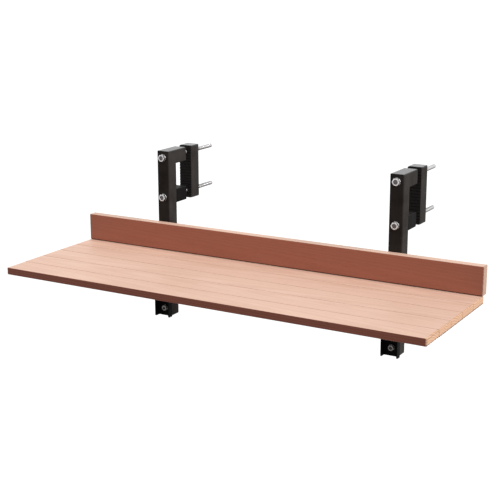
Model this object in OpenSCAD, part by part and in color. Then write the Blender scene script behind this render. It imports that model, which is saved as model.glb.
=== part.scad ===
// Folding balcony table. Two square steel uprights clamp on a railing with two
// long screws each, carry an upstand board and a tabletop that folds down.
// Frame: X runs along the railing, Y towards the railing, Z up. The origin lies
// midway between the clamps, on the back faces of the uprights.

/* [Tabletop] */
// Length of the tabletop along the railing
table_length = 860; // [660:10:1200]
// Width of one tabletop board
board_width = 53; // [46:0.5:60]
// Joint left open between two boards
board_gap = 0.4; // [0.2:0.1:3]
// Thickness of a tabletop board
board_thickness = 14; // [11:0.5:20]
// Rounding of the long edges of a board
board_edge = 1; // [0.5:0.1:2]
// Width of a relief groove in the underside of a board
groove_width = 5; // [3:0.5:7]
// Depth of a relief groove
groove_depth = 1.5; // [0.5:0.25:2.5]
// Distance from the middle of a board to its inner and outer grooves
groove_places = [9, 18.5];
// Depth of the tabletop surface below the middle of the clamp
table_drop = 145; // [120:1:220]
// Distance of the rear board edge in front of the hinge pins
board_set_forward = 4.9; // [3:0.1:10]

/* [Upstand] */
// Height of the upstand board
upstand_height = 54; // [40:1:70]
// Thickness of the upstand board
upstand_thickness = 18; // [14:1:24]
// Rounding of the long edges of the upstand
upstand_edge = 1; // [0.5:0.1:3]
// Gap between the upstand and the tabletop surface
upstand_clearance = 0.5; // [0.4:0.1:3]
// Height of the lower and the upper upstand screw above the upstand's lower edge
upstand_screw_heights = [14.5, 39.5];

/* [Uprights] */
// Distance between the middles of the two uprights
upright_spacing = 508; // [320:4:600]
// Outside width of the square tube
tube_size = 28; // [24:0.5:30]
// Wall of the square tube
tube_wall = 2; // [1.5:0.25:2.25]
// Outside corner radius of the square tube
tube_corner = 2.5; // [2.5:0.25:4]
// Thickness of the flange of a tube plug
plug_flange = 2; // [1.2:0.2:3]
// Depth of the foot plug's stem in the tube
foot_plug_depth = 9; // [5:0.5:10]
// Depth of a jaw cap's stem in the tube
jaw_cap_depth = 3.5; // [2.5:0.25:3.5]
// Wall of a plug's stem
plug_wall = 1.6; // [1.2:0.1:2]
// Clearance between a plug's stem and the tube
plug_clearance = 0.15; // [0.05:0.05:0.4]

/* [Railing clamp] */
// Height of the clamp over both arms
clamp_height = 109; // [100:1:130]
// Reach of the arms behind the uprights
arm_reach = 35; // [25:1:50]
// Thickness of the plate that closes an arm
arm_plate = 2; // [1.5:0.5:4]
// Radius of the weld between arm and upright
weld_radius = 4; // [2:0.5:6]
// Distance from the uprights to the jaw pad as the clamp stands
jaw_gap = 54; // [40:1:60]
// Thickness of the rubber pad
pad_thickness = 3; // [2.5:0.5:6]
// Distance between two grooves of the pad
pad_groove_pitch = 6; // [4:0.5:9]
// Radius of a groove of the pad
pad_groove = 1; // [0.5:0.1:1.5]
// Length of a clamp screw under its head
clamp_screw_length = 184; // [150:1:220]

/* [Hinge bracket] */
// Amount by which the hinge channel is wider than the tube, each side
channel_overhang = 3; // [2:0.25:5]
// Wall of the hinge channel
channel_wall = 2; // [1.5:0.25:2.5]
// Outside bend radius of the folded sheet parts
bend_radius = 3; // [3:0.25:5]
// Length of channel above the hinge pin
channel_above = 17; // [12:0.5:18]
// Length of channel below the stay pivot
channel_below = 39; // [34:1:60]
// Metal of the flanges in front of the pins
pin_front_margin = 6.5; // [6:0.25:8]
// Corner radius of the channel flanges
channel_corner = 3; // [1:0.5:5]
// Distance of the stay pivot below the hinge pin
pivot_drop = 70; // [64:1:78]
// Distance of the upper bracket bolt above the stay pivot
upper_bolt_rise = 35; // [30:1:45]
// Distance of the lower bracket bolt below the stay pivot
lower_bolt_drop = 22.4; // [20:0.2:24]

/* [Table arms] */
// Height of the arm's top face above the hinge pin
arm_rise = 22; // [21:0.5:28]
// Wall of the table arm
arm_wall = 2; // [1.5:0.25:2.5]
// Side clearance between the arm and the hinge channel
arm_clearance = 0.5; // [0.4:0.1:1]
// Radius of the arm round the hinge pin
hinge_boss_radius = 9; // [8:0.5:11]
// Distance from the front edge of the tabletop to the arm
arm_front_inset = 13.5; // [8:0.5:16]
// Height of the arm's nose
arm_nose = 3; // [3:0.5:8]
// Metal left below the slot
slot_margin = 4; // [3:0.5:8]

/* [Stays] */
// Distance between the pivot and the bolt of a stay
stay_length = 130; // [124:1:134]
// Half of the height of a stay
stay_radius = 6; // [5.5:0.25:6.5]
// Wall of a stay
stay_wall = 2; // [1.5:0.25:2.5]
// Clearance between a stay and the hinge channel
stay_clearance = 0.5; // [0.4:0.1:1]
// Angle of a stay below the horizontal when the tabletop hangs down
folded_stay_angle = 86; // [82:1:87]
// Clearance of the stay bolt in the slot, each side
slot_clearance = 0.3; // [0.2:0.05:0.6]

/* [Knobs] */
// Radius of a knob over its lobes
knob_radius = 11; // [9.5:0.25:12]
// Height of a knob's lobed head
knob_height = 11; // [8:0.5:16]
// Radius of a knob's collar
collar_radius = 6.5; // [5:0.25:7.5]
// Height of a knob's collar
collar_height = 3; // [2:0.5:6]
// Number of lobes of a knob
knob_lobes = 6; // [5:1:8]
// Clearance between a knob and the tabletop boards
knob_clearance = 1; // [0.8:0.1:3]

/* [Fasteners] */
// Radius of a clamp screw
clamp_screw_radius = 4; // [3:0.5:5]
// Width across the flats of a clamp screw's head
clamp_head_flats = 13; // [13:0.5:16]
// Height of a clamp screw's head
clamp_head_height = 5.3; // [4:0.1:7]
// Radius of the dish in a clamp screw's head
clamp_dish_radius = 4; // [2:0.25:5]
// Depth of the dish in a clamp screw's head
clamp_dish_depth = 1.2; // [0.5:0.1:2]
// Outside radius of a clamp screw's washer
clamp_washer_radius = 7.5; // [7.5:0.25:12]
// Thickness of a clamp screw's washer
clamp_washer = 1.6; // [1:0.1:2.5]
// Radius of the pins and of the smaller bolts
pin_radius = 3; // [2.5:0.25:3.5]
// Width across the flats of a smaller bolt's head
bolt_head_flats = 10; // [10:0.5:11]
// Height of a smaller bolt's head
bolt_head_height = 4; // [3:0.1:5]
// Height of a nut
nut_height = 5; // [4:0.1:6]
// Outside radius of a smaller bolt's washer
bolt_washer_radius = 6; // [5.8:0.1:7]
// Thickness of a smaller bolt's washer
bolt_washer = 1.2; // [0.8:0.1:1.6]
// Radius of the head of a hinge pin
pin_head_radius = 5.5; // [4.5:0.25:7]
// Height of the head of a hinge pin
pin_head_height = 2.2; // [1.5:0.1:3]
// Radius of a wood screw
screw_radius = 1.9; // [1.5:0.1:2.5]
// Radius of a wood screw's head
screw_head_radius = 4; // [3:0.25:4.5]
// Height of a wood screw's head
screw_head_height = 2.4; // [1.8:0.1:2.6]
// Distance of the board screws from the middle of the arm
screw_offset = 8; // [6:0.5:9]
// Board left over the tip of a board screw
screw_cover = 2; // [1:0.5:4]
// Upstand left in front of the tip of an upstand screw
upstand_screw_cover = 4; // [2:0.5:6]
// Outside radius of the body of a threaded insert
insert_radius = 5.5; // [5.5:0.25:6]
// Length of a threaded insert in the jaw
insert_length = 15; // [12:0.5:18]
// Outside radius of the flange and of the pressed collar of an insert
insert_flange_radius = 6.5; // [6.5:0.25:7]
// Thickness of the flange of an insert
insert_flange = 1.5; // [1:0.1:2]
// Length of the pressed collar of an insert
insert_collar = 3.5; // [2:0.5:5]

/* [Fits] */
// Radial clearance of a screw or bolt in a plain hole
hole_clearance = 0.25; // [0.15:0.05:0.4]
// Radial clearance of a pin in its bearing hole
pin_clearance = 0.05; // [0.03:0.01:0.08]
// Clearance left at a washer, a spacer or a pin head
end_clearance = 0.1; // [0.05:0.05:0.2]

/* [Hidden] */

LEFT = -1;
RIGHT = 1;
UPPER = 1;
LOWER = -1;

steel_colour = "#2b2829";
board_colour = "#d9a58a";
upstand_colour = "#93533f";
zinc_colour = "#b9bcc0";
rubber_colour = "#191919";
plastic_colour = "#232326";

$fn = 48;

// Amount by which a cutting shape stands past what it cuts
over = 1;

// Number of tabletop boards, one node each
board_count = 5;

// Sheet bracket widths, from the tube outwards and inwards
channel_width = tube_size + 2 * channel_overhang;
channel_inside = channel_width - 2 * channel_wall;
arm_inside = channel_width + 2 * arm_clearance;
arm_width = arm_inside + 2 * arm_wall;
stay_width = channel_inside - 2 * stay_clearance;
stay_inside = stay_width - 2 * stay_wall;

// Line of the hinge pins and of the stay pivots
pin_offset = channel_wall + stay_clearance + stay_radius;
pin_y = -tube_size - pin_offset;
hinge_z = -table_drop - board_thickness - arm_rise;
pivot_z = hinge_z - pivot_drop;
channel_depth = pin_offset + pin_front_margin;
channel_top_z = hinge_z + channel_above;
foot_z = pivot_z - channel_below;
bracket_bolt_levels = [pivot_z + upper_bolt_rise, pivot_z - lower_bolt_drop];

// Tabletop, from the hinge pins to the front
board_pitch = board_width + board_gap;
board_rear_y = pin_y - board_set_forward;
table_front_y = board_rear_y - board_count * board_width - (board_count - 1) * board_gap;
arm_length = pin_y - table_front_y - arm_front_inset;

// Upstand on the front faces of the uprights
upstand_bottom_z = upstand_clearance - table_drop;
upstand_screw_levels = [for (height = upstand_screw_heights) upstand_bottom_z + height];

// Clamp
clamp_top_z = clamp_height / 2;
arm_level = clamp_top_z - tube_size / 2;
jaw_front_y = jaw_gap + pad_thickness;
jaw_rear_y = jaw_front_y + tube_size;
clamp_hole_radius = clamp_screw_radius + hole_clearance;

// Fold of the tabletop and swing of the stays
fold_angle = 90;
bolt_rise = arm_rise - knob_radius - knob_clearance;
rest_angle = asin((pivot_drop + bolt_rise) / stay_length);
stay_swing = rest_angle + folded_stay_angle;
slot_half_width = pin_radius + slot_clearance;
slot_steps = 32;
slot_probe = 0.001;

pin_hole_radius = pin_radius + pin_clearance;
bolt_hole_radius = pin_radius + hole_clearance;
screw_hole_radius = screw_radius + hole_clearance;
pilot_radius = screw_radius + pin_clearance;
spacer_radius = bolt_washer_radius;
spacer_length = (arm_inside - stay_width) / 2 - 2 * end_clearance;
knob_base_x = arm_width / 2 + bolt_washer + 2 * end_clearance;
knob_bore_depth = collar_height + knob_height / 2;

// Stay bolt centre seen from the table arm, forward of and above the hinge pin,
// when the tabletop has folded by this share. The slot is cut along this path.
function slot_point(share) =
    let (below = share * stay_swing - rest_angle)
    let (fold = share * fold_angle)
    let (forward = stay_length * cos(below))
    let (up = -pivot_drop - stay_length * sin(below))
    [forward * cos(fold) - up * sin(fold), forward * sin(fold) + up * cos(fold)];

// Direction of the slot at this share of the fold
function slot_direction(share) =
    let (step = slot_point(share + slot_probe) - slot_point(share - slot_probe))
    step / norm(step);

// Point beside the slot's middle line, above it for a positive distance
function beside_slot(share, distance) =
    let (along = slot_direction(share))
    slot_point(share) + distance * [-along[1], along[0]];

// Whether a line from below the slot to this point stays clear of the slot's border
function looks_to(share, point, border) =
    cross(slot_direction(share), point - beside_slot(share, -border)) > 0;

// Shares of the fold at which the slot's outline has its points
slot_shares = [for (i = [0:slot_steps]) i / slot_steps];

// Where a line from a point touches a circle round the origin, on the chosen side
function touch_point(point, radius, turn) =
    let (angle = atan2(point[1], point[0]) + turn * acos(radius / norm(point)))
    radius * [cos(angle), sin(angle)];

// Radius of a round groove of this width and depth
function groove_radius(width, depth) = (width * width / 4 + depth * depth) / (2 * depth);

// Middle of a tabletop board, counted from the front
function board_middle_y(number) = table_front_y + board_width / 2 + (number - 1) * board_pitch;

// Places a right-hand bracket part, or its mirror image for the left
module at_bracket(side) {
    translate([side * upright_spacing / 2, 0, 0])
        if (side == RIGHT)
            children();
        else
            mirror([1, 0, 0]) children();
}

// Extrudes a Y-Z profile along X, centred
module along_x(length) {
    rotate([90, 0, 90]) linear_extrude(height = length, center = true) children();
}

// Extrudes a forward-up profile along X, centred
module sideways(length) {
    rotate([90, 0, -90]) linear_extrude(height = length, center = true) children();
}

// Extrudes an X-Z profile towards the railing
module rearward(length) {
    translate([0, length, 0]) rotate([90, 0, 0]) linear_extrude(height = length) children();
}

// Extrudes an X-Z profile away from the railing
module frontward(length) {
    rotate([90, 0, 0]) linear_extrude(height = length) children();
}

// Round cut along X, centred
module cut_x(radius, length) {
    rotate([0, 90, 0]) cylinder(r = radius, h = length, center = true);
}

// Round cut along Y, centred
module cut_y(radius, length) {
    rotate([90, 0, 0]) cylinder(r = radius, h = length, center = true);
}

module rounded_rect(width, height, radius) {
    square([width - 2 * radius, height], center = true);
    square([width, height - 2 * radius], center = true);
    for (sx = [-1, 1], sy = [-1, 1])
        translate([sx * (width / 2 - radius), sy * (height / 2 - radius)])
            circle(radius);
}

module tube_outline() {
    rounded_rect(tube_size, tube_size, tube_corner);
}

module tube_section() {
    difference() {
        tube_outline();
        rounded_rect(
            tube_size - 2 * tube_wall,
            tube_size - 2 * tube_wall,
            max(tube_corner - tube_wall, 0.2)
        );
    }
}

// Outline of a folded sheet, its web along the top, open below
module u_outline(width, depth, bend) {
    translate([-width / 2, -depth]) square([width, depth - bend]);
    translate([bend - width / 2, -depth]) square([width - 2 * bend, depth]);
    for (s = [-1, 1])
        translate([s * (width / 2 - bend), -bend])
            circle(bend);
}

module u_section(width, depth, wall) {
    difference() {
        u_outline(width, depth, bend_radius);
        translate([0, -wall])
            u_outline(width - 2 * wall, depth, bend_radius - wall);
    }
}

// Bar between two round ends, from the origin along X
module bar_outline(length, radius) {
    circle(radius);
    translate([length, 0]) circle(radius);
    translate([0, -radius]) square([length, 2 * radius]);
}

module ring(outer_radius, inner_radius, thickness) {
    difference() {
        cylinder(r = outer_radius, h = thickness);
        translate([0, 0, -over]) cylinder(r = inner_radius, h = thickness + 2 * over);
    }
}

// Six-sided blank with its corners turned off at the top
module hex_blank(flats, height) {
    corner = flats / sqrt(3);
    bevel = (corner - flats / 2) * tan(30);
    intersection() {
        cylinder(r = corner, h = height, $fn = 6);
        rotate_extrude()
            polygon([
                [0, 0],
                [corner, 0],
                [corner, height - bevel],
                [flats / 2, height],
                [0, height]
            ]);
    }
}

// Shank that points down from the origin, with a bevelled end
module shank(radius, length) {
    bevel = radius / 5;
    rotate_extrude()
        polygon([
            [0, 0],
            [radius, 0],
            [radius, bevel - length],
            [radius - bevel, -length],
            [0, -length]
        ]);
}

module hex_bolt(radius, length, flats, head_height) {
    hex_blank(flats, head_height);
    shank(radius, length);
}

module hex_nut(radius, flats, height) {
    difference() {
        hex_blank(flats, height);
        translate([0, 0, -over]) cylinder(r = radius, h = height + 2 * over);
    }
}

// Pan-head wood screw, its head above the origin and its point below
module wood_screw(length) {
    rim = screw_head_height / 3;
    rotate_extrude()
        polygon([
            [0, 0],
            [screw_head_radius, 0],
            [screw_head_radius, rim],
            [screw_head_radius * 0.85, 2 * rim],
            [screw_head_radius / 2, screw_head_height],
            [0, screw_head_height]
        ]);
    rotate_extrude()
        polygon([
            [0, 0],
            [screw_radius, 0],
            [screw_radius, 2 * screw_radius - length],
            [0, -length]
        ]);
}

// Plug for a tube end, its flange below the origin and its hollow stem above
module tube_plug(stem_depth) {
    stem = tube_size - 2 * tube_wall - 2 * plug_clearance;
    stem_corner = max(tube_corner - tube_wall, 0.2);
    lip = plug_flange * 0.4;
    translate([0, 0, lip - plug_flange])
        linear_extrude(height = plug_flange - lip) tube_outline();
    translate([0, 0, -plug_flange])
        linear_extrude(height = lip)
            rounded_rect(tube_size - 2 * lip, tube_size - 2 * lip, tube_corner - lip);
    linear_extrude(height = stem_depth)
        difference() {
            rounded_rect(stem, stem, stem_corner);
            square(stem - 2 * plug_wall, center = true);
        }
}

// Middle section of a tabletop board, its top face on the horizontal axis
module board_profile() {
    radius = groove_radius(groove_width, groove_depth);
    difference() {
        translate([0, -board_thickness / 2])
            rounded_rect(board_width, board_thickness, board_edge);
        for (s = [-1, 1], place = groove_places)
            translate([s * place, groove_depth - radius - board_thickness])
                circle(radius);
    }
}

// Places a child at both screws of every arm under one board
module at_board_screws(number) {
    for (side = [LEFT, RIGHT], s = [-1, 1])
        translate([
            side * upright_spacing / 2 + s * screw_offset,
            board_middle_y(number),
            hinge_z + arm_rise
        ])
            children();
}

module board(number) {
    color(board_colour)
        difference() {
            translate([0, board_middle_y(number), -table_drop])
                along_x(table_length) board_profile();
            at_board_screws(number)
                translate([0, 0, -over])
                    cylinder(r = pilot_radius, h = board_thickness - screw_cover + over + end_clearance);
        }
}

module board_screws() {
    color(zinc_colour)
        for (number = [1:board_count])
            at_board_screws(number)
                translate([0, 0, -arm_wall])
                    mirror([0, 0, 1]) wood_screw(arm_wall + board_thickness - screw_cover);
}

module upstand_board() {
    color(upstand_colour)
        difference() {
            translate([0, -tube_size - upstand_thickness / 2, upstand_bottom_z + upstand_height / 2])
                along_x(table_length)
                    rounded_rect(upstand_thickness, upstand_height, upstand_edge);
            for (side = [LEFT, RIGHT], level = upstand_screw_levels)
                translate([side * upright_spacing / 2, -tube_size, level])
                    cut_y(pilot_radius, 2 * (upstand_thickness - upstand_screw_cover + end_clearance));
        }
}

module upstand_screws() {
    color(zinc_colour)
        for (side = [LEFT, RIGHT], level = upstand_screw_levels)
            translate([side * upright_spacing / 2, 0, level])
                rotate([-90, 0, 0])
                    wood_screw(tube_size + upstand_thickness - upstand_screw_cover);
}

// One side of the sloping plane on which the upright meets the upper arm
module mitre_cut(keep_rear) {
    front = [-tube_size - over, clamp_top_z + over];
    rear = [over, clamp_top_z - tube_size - over];
    along_x(tube_size + 2 * over)
        polygon(keep_rear ? [front, rear, [front[0], rear[1]]] : [front, rear, [rear[0], front[1]]]);
}

module upright(side) {
    bottom = foot_z + plug_flange;
    color(steel_colour)
        at_bracket(side)
            difference() {
                translate([0, -tube_size / 2, bottom])
                    linear_extrude(height = clamp_top_z - bottom) tube_section();
                mitre_cut(false);
                for (level = [-arm_level, arm_level])
                    translate([0, -tube_size / 2, level])
                        cut_y(clamp_hole_radius, tube_size + 2 * over);
                for (level = bracket_bolt_levels)
                    translate([0, -tube_size / 2, level])
                        cut_y(bolt_hole_radius, tube_size + 2 * over);
                for (level = upstand_screw_levels)
                    translate([0, -tube_size / 2, level])
                        cut_y(screw_hole_radius, tube_size + 2 * over);
            }
}

module foot_plug(side) {
    color(plastic_colour)
        at_bracket(side)
            translate([0, -tube_size / 2, foot_z + plug_flange])
                tube_plug(foot_plug_depth);
}

// Weld in the corner between the back of the upright and an arm above it
module arm_weld() {
    translate([0, 0, arm_level - tube_size / 2 - weld_radius])
        along_x(tube_size - 2 * tube_corner)
            difference() {
                square(weld_radius);
                translate([weld_radius, 0]) circle(weld_radius);
            }
}

// Tube of an arm at the upper level, from the given Y to its closed rear end
module arm_tube(front_y) {
    difference() {
        union() {
            translate([0, front_y, arm_level])
                rearward(arm_reach - arm_plate - front_y) tube_section();
            translate([0, arm_reach - arm_plate, arm_level])
                rearward(arm_plate) tube_outline();
        }
        translate([0, arm_reach, arm_level]) cut_y(clamp_hole_radius, 2 * arm_plate + over);
    }
}

module upper_arm(side) {
    color(steel_colour)
        at_bracket(side) {
            difference() {
                arm_tube(-tube_size);
                mitre_cut(true);
            }
            arm_weld();
        }
}

module lower_arm(side) {
    color(steel_colour)
        at_bracket(side)
            mirror([0, 0, 1]) {
                arm_tube(0);
                arm_weld();
            }
}

module jaw(side) {
    height = clamp_height - 2 * plug_flange;
    color(steel_colour)
        at_bracket(side)
            difference() {
                translate([0, jaw_front_y + tube_size / 2, -height / 2])
                    linear_extrude(height = height) tube_section();
                for (level = [-arm_level, arm_level]) {
                    translate([0, jaw_front_y, level]) cut_y(clamp_hole_radius, tube_size);
                    translate([0, jaw_rear_y, level])
                        cut_y(insert_radius + pin_clearance, 2 * tube_wall + over);
                }
            }
}

module jaw_pad(side) {
    color(rubber_colour)
        at_bracket(side)
            difference() {
                translate([0, jaw_gap, 0])
                    rearward(pad_thickness) rounded_rect(tube_size, clamp_height, tube_corner);
                for (level = [-arm_level, arm_level])
                    translate([0, jaw_front_y, level])
                        cut_y(clamp_hole_radius + hole_clearance, 2 * (pad_thickness + over));
                for (s = [-1, 1], level = [pad_groove_pitch / 2:pad_groove_pitch:clamp_top_z - pad_groove_pitch])
                    translate([0, jaw_gap, s * level]) cut_x(pad_groove, tube_size + 2 * over);
            }
}

module jaw_caps(side) {
    color(plastic_colour)
        at_bracket(side)
            for (end = [UPPER, LOWER])
                translate([0, jaw_front_y + tube_size / 2, -end * (clamp_top_z - plug_flange)])
                    mirror([0, 0, end == UPPER ? 0 : 1]) tube_plug(jaw_cap_depth);
}

// Threaded insert, its flange above the origin and its body below
module threaded_insert() {
    bore = clamp_screw_radius + pin_clearance;
    collar_end = -tube_wall - insert_collar;
    rotate_extrude()
        polygon([
            [bore, -insert_length],
            [insert_radius, -insert_length],
            [insert_radius, collar_end - 1],
            [insert_flange_radius, collar_end],
            [insert_flange_radius, -tube_wall],
            [insert_radius, -tube_wall],
            [insert_radius, 0],
            [insert_flange_radius, 0],
            [insert_flange_radius, insert_flange],
            [bore, insert_flange]
        ]);
}

module jaw_inserts(side) {
    color(zinc_colour)
        at_bracket(side)
            for (level = [-arm_level, arm_level])
                translate([0, jaw_rear_y, level])
                    rotate([-90, 0, 0]) threaded_insert();
}

module clamp_screw(side, end) {
    color(zinc_colour)
        at_bracket(side)
            translate([0, -tube_size - clamp_washer, end * arm_level])
                rotate([90, 0, 0])
                    difference() {
                        hex_bolt(
                            clamp_screw_radius,
                            clamp_screw_length,
                            clamp_head_flats,
                            clamp_head_height
                        );
                        translate([0, 0, clamp_head_height - clamp_dish_depth])
                            cylinder(r = clamp_dish_radius, h = clamp_dish_depth + over);
                    }
}

module screw_washer(side, end) {
    color(zinc_colour)
        at_bracket(side)
            translate([0, -tube_size, end * arm_level])
                rotate([90, 0, 0]) ring(clamp_washer_radius, clamp_hole_radius, clamp_washer);
}

module hinge_channel(side) {
    length = channel_top_z - foot_z;
    color(steel_colour)
        at_bracket(side)
            difference() {
                intersection() {
                    translate([0, -tube_size, foot_z])
                        linear_extrude(height = length)
                            u_section(channel_width, channel_depth, channel_wall);
                    translate([0, -tube_size, foot_z + length / 2])
                        along_x(channel_width + over)
                            rounded_rect(2 * channel_depth, length, channel_corner);
                }
                for (level = [hinge_z, pivot_z])
                    translate([0, pin_y, level]) cut_x(pin_hole_radius, channel_width + over);
                for (level = bracket_bolt_levels)
                    translate([0, -tube_size, level])
                        cut_y(bolt_hole_radius, 2 * channel_wall + over);
            }
}

module bracket_bolts(side) {
    grip = channel_wall + tube_size + 2 * bolt_washer + nut_height;
    color(zinc_colour)
        at_bracket(side)
            for (level = bracket_bolt_levels)
                translate([0, -tube_size - channel_wall - bolt_washer, level])
                    rotate([90, 0, 0])
                        hex_bolt(pin_radius, grip + pin_radius / 2, bolt_head_flats, bolt_head_height);
}

module bracket_washers(side) {
    color(zinc_colour)
        at_bracket(side)
            for (level = bracket_bolt_levels, rear_y = [-tube_size - channel_wall, bolt_washer])
                translate([0, rear_y, level])
                    rotate([90, 0, 0]) ring(bolt_washer_radius, bolt_hole_radius, bolt_washer);
}

module bracket_nuts(side) {
    color(zinc_colour)
        at_bracket(side)
            for (level = bracket_bolt_levels)
                translate([0, bolt_washer, level])
                    rotate([-90, 0, 0]) hex_nut(pin_hole_radius, bolt_head_flats, nut_height);
}

// Slot of the table arm, forward and up from the hinge pin
module slot_outline() {
    polygon(concat(
        [for (share = slot_shares) beside_slot(share, slot_half_width)],
        [for (i = [slot_steps:-1:0]) beside_slot(slot_shares[i], -slot_half_width)]
    ));
    for (share = [0, 1])
        translate(slot_point(share)) circle(slot_half_width);
}

// Side of the table arm: round at the hinge, deepest below the slot, thin at the nose
module arm_side_outline() {
    border = slot_half_width + slot_margin;
    rear_top = [board_set_forward, arm_rise];
    nose = [arm_length, arm_rise - arm_nose];
    rising = [for (share = slot_shares) if (slot_direction(share)[1] > 0) share];
    belly = [for (share = rising) if (looks_to(share, nose, border)) beside_slot(share, -border)];
    circle(hinge_boss_radius);
    translate(slot_point(1)) circle(border);
    polygon(concat(
        [touch_point(rear_top, hinge_boss_radius, 1)],
        [touch_point(belly[0], hinge_boss_radius, -1)],
        belly,
        [nose],
        [[arm_length, arm_rise]],
        [rear_top]
    ));
}

module table_arm(side) {
    depth = arm_rise + hinge_boss_radius + slot_margin + 2 * stay_radius;
    color(steel_colour)
        at_bracket(side)
            difference() {
                translate([0, pin_y, hinge_z])
                    intersection() {
                        translate([0, 2 * hinge_boss_radius, arm_rise])
                            frontward(arm_length + 3 * hinge_boss_radius)
                                u_section(arm_width, depth, arm_wall);
                        sideways(arm_width + over) arm_side_outline();
                    }
                translate([0, pin_y, hinge_z]) {
                    cut_x(pin_hole_radius, arm_width + over);
                    sideways(arm_width + over) slot_outline();
                }
                for (number = [1:board_count], s = [-1, 1])
                    translate([s * screw_offset, board_middle_y(number), hinge_z + arm_rise - 2 * arm_wall])
                        cylinder(r = screw_hole_radius, h = 4 * arm_wall);
            }
}

// Pin that is riveted over at both ends, along X
module hinge_pin(side) {
    half = arm_width / 2 + end_clearance;
    crown = pin_head_height / 2;
    color(zinc_colour)
        at_bracket(side)
            translate([0, pin_y, hinge_z])
                rotate([0, 90, 0])
                    rotate_extrude()
                        polygon([
                            [0, -half - pin_head_height],
                            [pin_head_radius - crown, -half - pin_head_height],
                            [pin_head_radius, crown - half - pin_head_height],
                            [pin_head_radius, -half],
                            [pin_radius, -half],
                            [pin_radius, half],
                            [pin_head_radius, half],
                            [pin_head_radius, half + pin_head_height - crown],
                            [pin_head_radius - crown, half + pin_head_height],
                            [0, half + pin_head_height]
                        ]);
}

// Places a child on the pivot of the stay, turned so that forward runs along the stay
module along_stay() {
    translate([0, pin_y, pivot_z]) rotate([-rest_angle, 0, 0]) children();
}

// Places a child on the bolt at the stay's far end
module at_stay_bolt() {
    along_stay() translate([0, -stay_length, 0]) children();
}

module stay(side) {
    color(steel_colour)
        at_bracket(side)
            along_stay()
                difference() {
                    intersection() {
                        translate([0, stay_radius, stay_radius])
                            frontward(stay_length + 2 * stay_radius)
                                u_section(stay_width, 2 * stay_radius + over, stay_wall);
                        sideways(stay_width + over) bar_outline(stay_length, stay_radius);
                    }
                    for (forward = [0, stay_length])
                        translate([0, -forward, 0]) cut_x(pin_hole_radius, stay_width + over);
                }
}

// Pin that ends flush with the hinge channel
module stay_pivot(side) {
    color(zinc_colour)
        at_bracket(side)
            translate([0, pin_y, pivot_z])
                for (s = [0, 1])
                    mirror([s, 0, 0])
                        rotate([0, -90, 0]) shank(pin_radius, channel_width / 2);
}

// Bolt through the stay and both slots, its head on the inner side
module stay_bolt(side) {
    seat = arm_width / 2 + bolt_washer + 2 * end_clearance;
    color(zinc_colour)
        at_bracket(side)
            at_stay_bolt()
                translate([-seat, 0, 0])
                    rotate([0, -90, 0])
                        hex_bolt(
                            pin_radius,
                            seat + knob_base_x + knob_bore_depth - 2 * end_clearance,
                            bolt_head_flats,
                            bolt_head_height
                        );
}

module stay_spacers(side) {
    tube_length = stay_inside - 2 * end_clearance;
    color(zinc_colour)
        at_bracket(side)
            at_stay_bolt() {
                for (s = [0, 1])
                    mirror([s, 0, 0])
                        translate([stay_width / 2 + end_clearance, 0, 0])
                            rotate([0, 90, 0]) ring(spacer_radius, pin_hole_radius, spacer_length);
                translate([-tube_length / 2, 0, 0])
                    rotate([0, 90, 0])
                        ring(stay_radius - stay_wall - end_clearance, pin_hole_radius, tube_length);
            }
}

module stay_washers(side) {
    color(zinc_colour)
        at_bracket(side)
            at_stay_bolt()
                for (s = [0, 1])
                    mirror([s, 0, 0])
                        translate([arm_width / 2 + end_clearance, 0, 0])
                            rotate([0, 90, 0]) ring(bolt_washer_radius, pin_hole_radius, bolt_washer);
}

// Lobes of the knob, seen along its bolt
module knob_outline() {
    lobe = knob_radius / 4;
    circle(knob_radius - lobe);
    for (i = [0:knob_lobes - 1])
        rotate(i * 360 / knob_lobes)
            translate([knob_radius - lobe, 0])
                circle(lobe);
}

module knob(side) {
    round_edge = 2;
    color(plastic_colour)
        at_bracket(side)
            at_stay_bolt()
                translate([knob_base_x, 0, 0])
                    rotate([0, 90, 0])
                        difference() {
                            union() {
                                cylinder(r = collar_radius, h = collar_height);
                                translate([0, 0, collar_height])
                                    intersection() {
                                        linear_extrude(height = knob_height) knob_outline();
                                        rotate_extrude()
                                            intersection() {
                                                translate([0, knob_height / 2])
                                                    rounded_rect(2 * knob_radius, knob_height, round_edge);
                                                square([knob_radius, knob_height]);
                                            }
                                    }
                            }
                            translate([0, 0, -over])
                                cylinder(r = pin_hole_radius, h = knob_bore_depth + over);
                        }
}

board(1);  // board_1
board(2);  // board_2
board(3);  // board_3
board(4);  // board_4
board(5);  // board_5
board_screws();
upstand_board();
upstand_screws();
upright(LEFT);  // left_upright
upright(RIGHT);  // right_upright
foot_plug(LEFT);  // left_foot_plug
foot_plug(RIGHT);  // right_foot_plug
upper_arm(LEFT);  // left_upper_arm
upper_arm(RIGHT);  // right_upper_arm
lower_arm(LEFT);  // left_lower_arm
lower_arm(RIGHT);  // right_lower_arm
jaw(LEFT);  // left_jaw
jaw(RIGHT);  // right_jaw
jaw_pad(LEFT);  // left_jaw_pad
jaw_pad(RIGHT);  // right_jaw_pad
jaw_caps(LEFT);  // left_jaw_caps
jaw_caps(RIGHT);  // right_jaw_caps
jaw_inserts(LEFT);  // left_jaw_inserts
jaw_inserts(RIGHT);  // right_jaw_inserts
clamp_screw(LEFT, UPPER);  // left_upper_clamp_screw
clamp_screw(RIGHT, UPPER);  // right_upper_clamp_screw
clamp_screw(LEFT, LOWER);  // left_lower_clamp_screw
clamp_screw(RIGHT, LOWER);  // right_lower_clamp_screw
screw_washer(LEFT, UPPER);  // left_upper_washer
screw_washer(RIGHT, UPPER);  // right_upper_washer
screw_washer(LEFT, LOWER);  // left_lower_washer
screw_washer(RIGHT, LOWER);  // right_lower_washer
hinge_channel(LEFT);  // left_hinge_channel
hinge_channel(RIGHT);  // right_hinge_channel
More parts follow.
